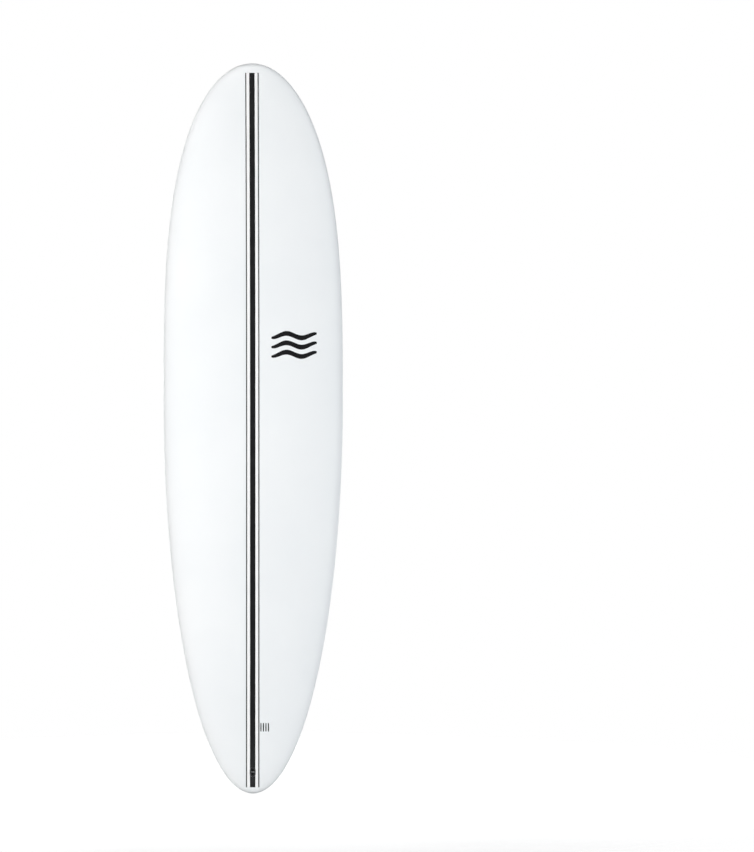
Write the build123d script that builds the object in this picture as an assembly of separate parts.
"""A soft-top surfboard, standing on its tail: X is its width, the deck faces -Y and the nose is +Z.

The origin is the middle of the flat spot of the bottom. Distances along the board, called "station",
are measured from the tail tip. All sizes are in millimetres.
"""
from build123d import *
import math
import os

# Outline: 7 ft 2 in by 21 1/4 in, with its wide point a little forward of the middle
LENGTH = 2184.0
WIDTH = 540.0
WIDE_POINT = 1185.0
NOSE_FULLNESS = 3.05
TAIL_FULLNESS = 2.05

# Foil: 2 3/4 in thick, with the flat spot of the rocker at FLAT_SPOT
THICKNESS = 70.0
THICKEST_POINT = 1120.0
TIP_THICKNESS = 24.0
TIP_ROUND = 16.0
FOIL_POWER = 2.6
FLAT_SPOT = 1050.0
NOSE_ROCKER, NOSE_POWER = 115.0, 2.4
TAIL_ROCKER, TAIL_POWER = 52.0, 2.3

# Cross-section: the rail's widest line sits at APEX of the thickness; a flat bottom, a domed deck
APEX = 0.42
DECK_POWERS = (2.5, 2.1)
BOTTOM_POWERS = (5.0, 2.3)
VEE_DEPTH = 5.0
VEE_START = 880.0

# Layers, measured inwards from the outer surface
DECK_FOAM = 5.0
SLICK = 1.6
SLICK_FOAM_TOP = 2.2
CORE_DEPTH = 6.0
SEAM = 14.0
SEAM_GAP = 0.6
STRINGER = 5.0
GLUE_LINE = 0.5

# Strips laid on the centreline of the deck
STRIP_THICKNESS = 0.5
STRIP_LIFT = 0.2
BLACK_STRIP = 16.0
BORDER_STRIP = 8.4
PINSTRIPE = 3.2
STRIP_GAP = 0.2
STRIP_FROM_TAIL = 20.0
STRIP_FROM_NOSE = 29.0

# Fin boxes
FLANGE_LENGTH, FLANGE_WIDTH = 137.0, 33.0
FLANGE_THICKNESS, FLANGE_PROUD = 2.6, 0.6
BOX_LENGTH, BOX_WIDTH, BOX_DEPTH = 124.0, 25.0, 21.0
SLOT_LENGTH, SLOT_WIDTH, SLOT_START = 96.0, 8.0, 21.0
DEEP_SLOT_LENGTH, DEEP_SLOT_DEPTH, SHALLOW_SLOT_DEPTH = 43.0, 17.5, 7.0
DIMPLE_RADIUS, DIMPLE_DEPTH, DIMPLE_FROM_END = 2.6, 1.0, 15.0
POCKET_CLEARANCE = 0.4
CENTRE_BOX_STATION = 165.0
SIDE_BOX_STATION, SIDE_BOX_OFFSET, TOE_IN = 363.5, 131.0, 4.0

# Grub screws, which lean towards the fin slot
SCREW_RADIUS, SCREW_LENGTH, SCREW_CHAMFER, SCREW_CLEARANCE = 2.5, 5.0, 0.4, 0.3
SCREW_POSITIONS = (0.28, 0.71)
SCREW_OFFSET, SCREW_LEAN, SCREW_SINK = 8.7, 25.0, 0.8
SCREW_IN = 3.0
HEX_SOCKET, HEX_DEPTH = 2.5, 3.0

# Leash plug
PLUG_STATION = 65.5
PLUG_LENGTH, PLUG_WIDTH = 28.0, 17.0
PLUG_FLANGE, PLUG_PROUD = 2.2, 0.7
CUP_LENGTH, CUP_WIDTH, CUP_DEPTH = 25.0, 14.0, 16.0
CAVITY_LENGTH, CAVITY_WIDTH, CAVITY_DEPTH = 21.0, 10.0, 13.0
PIN_RADIUS, PIN_LENGTH, PIN_SINK = 1.5, 13.0, 4.5

# How finely the curved faces are sampled, and how far their ribs fan out towards the tips
COLUMNS = 12
ROWS = 36
RIB_STEPS = 60
RIB_FAN = 0.9
SKIN_FIT = {"tol": 0.03, "min_deg": 3, "max_deg": 6}
STRIP_FIT = {"tol": 0.01, "min_deg": 3, "max_deg": 6}

# How far a cut starts above the face that it goes into
OVERCUT = 3.0
POCKET_OVERCUT = 10.0


def half_width(station, inset=0.0):
    """Half the width of the outline, drawn in by inset all round."""
    ahead = station > WIDE_POINT
    reach = LENGTH - inset - WIDE_POINT if ahead else WIDE_POINT - inset
    fullness = NOSE_FULLNESS if ahead else TAIL_FULLNESS
    fraction = min(abs(station - WIDE_POINT) / reach, 1.0)
    return (WIDTH / 2 - inset) * math.sqrt(1 - fraction**fullness)


def rocker(station):
    """How far the bottom curves up towards the deck side."""
    if station > FLAT_SPOT:
        return NOSE_ROCKER * ((station - FLAT_SPOT) / (LENGTH - FLAT_SPOT)) ** NOSE_POWER
    return TAIL_ROCKER * ((FLAT_SPOT - station) / FLAT_SPOT) ** TAIL_POWER


def foil(station):
    """Thickness on the centreline, before the tips are rounded."""
    ahead = station > THICKEST_POINT
    reach = LENGTH - THICKEST_POINT if ahead else THICKEST_POINT
    return THICKNESS - (THICKNESS - TIP_THICKNESS) * (abs(station - THICKEST_POINT) / reach) ** FOIL_POWER


def tip_rounding(station, inset):
    """Falls from 1 to 0 over the last few millimetres before each tip."""
    radius = TIP_ROUND - inset
    short = radius - (min(station, LENGTH - station) - inset)
    return math.sqrt(max(0.0, 1 - (short / radius) ** 2)) if short > 0 else 1.0


def across(x, station, inset):
    """How far out x lies between the centreline (0) and the outline (1)."""
    width = half_width(station, inset)
    return min(abs(x) / width, 1.0) if width > 0.01 else 1.0


def deck_y(x, station, inset=0.0):
    side, crown = DECK_POWERS
    apex = APEX * foil(station)
    dome = (1 - across(x, station, inset) ** side) ** (1 / crown)
    rise = (foil(station) - apex - inset) * tip_rounding(station, inset) * dome
    return -(rocker(station) + apex + rise)


def bottom_y(x, station, inset=0.0):
    side, crown = BOTTOM_POWERS
    apex = APEX * foil(station)
    out = across(x, station, inset)
    fade = min(max(1 - station / VEE_START, 0.0), 1.0)
    vee = VEE_DEPTH * math.sin(math.pi * fade) ** 2 if fade < 0.5 else VEE_DEPTH
    drop = (apex - inset - vee * out) * tip_rounding(station, inset)
    return -(rocker(station) + apex - drop * (1 - out**side) ** (1 / crown))


def evenly_spaced(points, count):
    """Points along a polyline at equal steps of its length."""
    lengths = [0.0]
    for start, end in zip(points, points[1:]):
        lengths.append(lengths[-1] + math.dist(start, end))
    spaced = []
    leg = 0
    for step in range(count + 1):
        wanted = lengths[-1] * step / count
        while leg < len(points) - 2 and lengths[leg + 1] < wanted:
            leg += 1
        fraction = (wanted - lengths[leg]) / (lengths[leg + 1] - lengths[leg])
        spaced.append(tuple(a + (b - a) * fraction for a, b in zip(points[leg], points[leg + 1])))
    return spaced


def tip_stations(inset, plane_x):
    """The stations where the outline comes in to plane_x, at the tail and at the nose."""
    ends = []
    for outer in (inset, LENGTH - inset):
        inner = WIDE_POINT
        for _ in range(RIB_STEPS):
            middle = (outer + inner) / 2
            if half_width(middle, inset) < plane_x:
                outer = middle
            else:
                inner = middle
        ends.append(inner)
    return ends


def ribs(inset, plane_x):
    """Straight lines in plan from the outline to the centre plane, fanned out at the tips."""
    tail, nose = tip_stations(inset, plane_x)
    for row in range(ROWS + 1):
        station = tail + (nose - tail) * (1 - math.cos(math.pi * row / ROWS)) / 2
        edge = (max(half_width(station, inset), plane_x), station)
        if row in (0, ROWS):
            edge = (plane_x, station)
        centre = (plane_x, LENGTH / 2 + (station - LENGTH / 2) * RIB_FAN)
        yield edge, centre


def along_rib(edge, centre, distances, surface, inset):
    """Points of a surface above a rib, at distances in from the outline."""
    span = math.dist(edge, centre)
    points = []
    for distance in distances:
        x = edge[0] + (centre[0] - edge[0]) * distance / span
        station = edge[1] + (centre[1] - edge[1]) * distance / span
        points.append((x, surface(x, station, inset), station))
    return points


def eased(start, end, count=RIB_STEPS):
    """Distances from start to end, crowded towards the outline where the rail turns over."""
    return [start + (end - start) * (1 - math.cos(math.pi / 2 * step / count)) for step in range(count + 1)]


def wrapped_face(inset, lap, plane_x=0.0):
    """Half of the deck side: from lap inside the outline, under and round the rail, to the centre."""
    grid = []
    for edge, centre in ribs(inset, plane_x):
        span = math.dist(edge, centre)
        under = along_rib(edge, centre, eased(0.0, min(lap, span)), bottom_y, inset)
        over = along_rib(edge, centre, eased(0.0, span), deck_y, inset)
        under_count = COLUMNS // 3 if lap < span else COLUMNS
        grid.append(evenly_spaced(under[::-1], under_count)[:-1] + evenly_spaced(over, COLUMNS))
    return Face.make_surface_from_array_of_points(grid, **SKIN_FIT)


def bottom_face(inset, lap):
    """Half of a bottom sheet: from lap inside the outline to the centre."""
    grid = []
    for edge, centre in ribs(inset, 0.0):
        span = math.dist(edge, centre)
        points = along_rib(edge, centre, eased(lap, span), bottom_y, inset)
        grid.append(evenly_spaced(points, COLUMNS))
    return Face.make_surface_from_array_of_points(grid, **SKIN_FIT)


def two_sided(outer, inner):
    """A skin between an outer and an inner half face, closed along the seam and mirrored."""
    seam = Face.make_surface_from_curves(outer.edges()[1], inner.edges()[1])
    half = [outer, inner, seam]
    return Solid(Shell(half + [face.mirror(Plane.YZ) for face in half]))


def deck_skin():
    """The foam deck, which wraps round the rails and stops at the seam under the board."""
    return two_sided(wrapped_face(0.0, SEAM), wrapped_face(DECK_FOAM, SEAM - DECK_FOAM))


def bottom_sheet(outside, inside):
    """A sheet of the bottom laminate between two depths, a seam gap short of the deck foam."""
    lap = SEAM + SEAM_GAP
    return two_sided(bottom_face(outside, lap - outside), bottom_face(inside, lap - inside))


def core_half():
    """The right half of the foam blank, glued to the stringer along its flat side."""
    plane_x = STRINGER / 2 + GLUE_LINE
    surface = wrapped_face(CORE_DEPTH, math.inf, plane_x)
    return Solid(Shell([surface, Face(Wire(surface.edges()))]))


def stringer():
    """The wooden batten down the middle of the blank, as deep as the blank is thick."""
    tail, nose = CORE_DEPTH, LENGTH - CORE_DEPTH
    stations = [tail + (nose - tail) * (1 - math.cos(math.pi * row / ROWS)) / 2 for row in range(ROWS + 1)]
    edges = [
        Edge.make_spline([Vector(0, surface(0, station, CORE_DEPTH), station) for station in stations])
        for surface in (deck_y, bottom_y)
    ]
    return extrude(Face(Wire(edges)), amount=STRINGER / 2, dir=(1, 0, 0), both=True)


def strip(start_x, width):
    """A thin strip of film on the deck, from start_x outwards, with square-cut ends."""
    tail, nose = STRIP_FROM_TAIL, LENGTH - STRIP_FROM_NOSE
    grid = []
    for row in range(ROWS + 1):
        station = tail + (nose - tail) * (1 - math.cos(math.pi * row / ROWS)) / 2
        xs = [start_x + width * column / 3 for column in range(4)]
        grid.append([(x, deck_y(x, station) - STRIP_LIFT, station) for x in xs])
    film = Face.make_surface_from_array_of_points(grid, **STRIP_FIT)
    return extrude(film, amount=STRIP_THICKNESS, dir=(0, -1, 0))


def surface_frame(surface, x, station, outward, toe=0.0):
    """A plane on the board: local X runs to the nose, turned by toe degrees, and local Z points out."""
    step = 1.0
    slope_x = (surface(x + step, station) - surface(x - step, station)) / (2 * step)
    slope_z = (surface(x, station + step) - surface(x, station - step)) / (2 * step)
    along = Vector(0, slope_z, 1).normalized()
    normal = Vector(1, slope_x, 0).cross(Vector(0, slope_z, 1)).normalized()
    if normal.Y * outward < 0:
        normal = normal * -1
    turn = math.radians(toe)
    forward = along * math.cos(turn) + normal.cross(along) * math.sin(turn)
    return Plane(origin=(x, surface(x, station), station), x_dir=forward, z_dir=normal)


def block(length, width, low, high, x=0.0):
    """A round-ended block along local X, between two heights."""
    return Pos(x, 0, low) * extrude(SlotOverall(length, width), amount=high - low)


def screw_axis(position, side):
    """Where a grub screw's hole meets the flange face, as a location whose Z runs out along it."""
    x = FLANGE_LENGTH / 2 - position * FLANGE_LENGTH
    return Pos(x, side * SCREW_OFFSET, FLANGE_PROUD) * Rot(X=-side * SCREW_LEAN)


def fin_box(sides):
    """A fin box in its own frame, with a deep front slot, a shallow rear one and two screw holes."""
    skirt = FLANGE_PROUD - FLANGE_THICKNESS
    box = block(FLANGE_LENGTH, FLANGE_WIDTH, skirt, FLANGE_PROUD)
    box += block(BOX_LENGTH, BOX_WIDTH, -BOX_DEPTH, skirt)
    front = FLANGE_LENGTH / 2 - SLOT_START
    box -= block(SLOT_LENGTH, SLOT_WIDTH, -SHALLOW_SLOT_DEPTH, OVERCUT, front - SLOT_LENGTH / 2)
    box -= block(DEEP_SLOT_LENGTH, SLOT_WIDTH, -DEEP_SLOT_DEPTH, OVERCUT, front - DEEP_SLOT_LENGTH / 2)
    dimple_x = DIMPLE_FROM_END - FLANGE_LENGTH / 2
    box -= Pos(dimple_x, 0, FLANGE_PROUD) * Cylinder(DIMPLE_RADIUS, 2 * DIMPLE_DEPTH)
    reach = SCREW_SINK + SCREW_LENGTH + SCREW_IN + SCREW_CLEARANCE
    for position, side in zip(SCREW_POSITIONS, sides):
        hole = Cylinder(SCREW_RADIUS + SCREW_CLEARANCE, reach + OVERCUT)
        box -= screw_axis(position, side) * Pos(0, 0, OVERCUT - (reach + OVERCUT) / 2) * hole
    return box.solid()


def grub_screw():
    """A grub screw along Z, its socket end at z = 0."""
    screw = Pos(0, 0, -SCREW_LENGTH / 2) * Cylinder(SCREW_RADIUS, SCREW_LENGTH)
    socket = extrude(RegularPolygon(HEX_SOCKET / 2, 6, major_radius=False), amount=-HEX_DEPTH)
    screw = chamfer(screw.edges().filter_by(GeomType.CIRCLE), SCREW_CHAMFER)
    return (screw - socket).solid()


def fin_box_pocket():
    """The stepped hole that the layers have for a fin box."""
    skirt = FLANGE_PROUD - FLANGE_THICKNESS - POCKET_CLEARANCE
    grown = 2 * POCKET_CLEARANCE
    pocket = block(FLANGE_LENGTH + grown, FLANGE_WIDTH + grown, skirt, POCKET_OVERCUT)
    return pocket + block(BOX_LENGTH + grown, BOX_WIDTH + grown, -BOX_DEPTH - POCKET_CLEARANCE, skirt)


def leash_plug():
    """The leash plug's cup in its own frame, with holes for the pin in its long walls."""
    skirt = PLUG_PROUD - PLUG_FLANGE
    cup = block(PLUG_LENGTH, PLUG_WIDTH, skirt, PLUG_PROUD)
    cup += block(CUP_LENGTH, CUP_WIDTH, -CUP_DEPTH, skirt)
    cup -= block(CAVITY_LENGTH, CAVITY_WIDTH, -CAVITY_DEPTH, OVERCUT)
    return (cup - leash_pin()).solid()


def leash_pin():
    return Pos(0, 0, -PIN_SINK) * Rot(X=90) * Cylinder(PIN_RADIUS, PIN_LENGTH)


def leash_plug_pocket():
    skirt = PLUG_PROUD - PLUG_FLANGE - POCKET_CLEARANCE
    grown = 2 * POCKET_CLEARANCE
    pocket = block(PLUG_LENGTH + grown, PLUG_WIDTH + grown, skirt, POCKET_OVERCUT)
    return pocket + block(CUP_LENGTH + grown, CUP_WIDTH + grown, -CUP_DEPTH - POCKET_CLEARANCE, skirt)


def fin_box_frames():
    """Each fin box's frame and the sides that its front and rear screws are on, in local Y."""
    side = SIDE_BOX_OFFSET
    return {
        "centre": (surface_frame(bottom_y, 0.0, CENTRE_BOX_STATION, 1), (-1, 1)),
        "right": (surface_frame(bottom_y, side, SIDE_BOX_STATION, 1, -TOE_IN), (-1, -1)),
        "left": (surface_frame(bottom_y, -side, SIDE_BOX_STATION, 1, TOE_IN), (1, 1)),
    }


def board_layers():
    """The layers of the board before anything is let into them."""
    right = core_half()
    return {
        "deck_skin": deck_skin(),
        "bottom_slick": bottom_sheet(0.0, SLICK),
        "bottom_foam": bottom_sheet(SLICK_FOAM_TOP, DECK_FOAM),
        "core_right": right,
        "core_left": right.mirror(Plane.YZ),
        "stringer": stringer(),
    }


def deck_strips():
    """The strips on the deck, from the centreline outwards."""
    border_start = BLACK_STRIP / 2 + STRIP_GAP
    pinstripe_start = border_start + BORDER_STRIP + STRIP_GAP
    right = {"border": strip(border_start, BORDER_STRIP), "pinstripe": strip(pinstripe_start, PINSTRIPE)}
    strips = {"centre_stripe": strip(-BLACK_STRIP / 2, BLACK_STRIP)}
    for name, film in right.items():
        strips[name + "_right"] = film
        strips[name + "_left"] = film.mirror(Plane.YZ)
    return strips


def build():
    nodes = board_layers()
    nodes.update(deck_strips())
    cuts = [frame.location * fin_box_pocket() for frame, _ in fin_box_frames().values()]
    plug_frame = surface_frame(deck_y, 0.0, PLUG_STATION, -1)
    cuts.append(plug_frame.location * leash_plug_pocket())
    for name, piece in nodes.items():
        for cut in cuts:
            piece = piece - cut
        nodes[name] = piece
    for name, (frame, sides) in fin_box_frames().items():
        nodes["fin_box_" + name] = frame.location * fin_box(sides)
        for end, position, side in zip(("front", "rear"), SCREW_POSITIONS, sides):
            sunk = screw_axis(position, side) * Pos(0, 0, -SCREW_SINK) * grub_screw()
            nodes[f"grub_screw_{name}_{end}"] = frame.location * sunk
    nodes["leash_plug"] = plug_frame.location * leash_plug()
    nodes["leash_pin"] = plug_frame.location * leash_pin()
    os.makedirs("parts", exist_ok=True)
    for name, piece in nodes.items():
        export_step(Pos(0, 0, -FLAT_SPOT) * piece, f"parts/{name}.step")
        print(name, len(piece.solids()), "solids", round(piece.volume / 1000, 2), "cm3")


build()
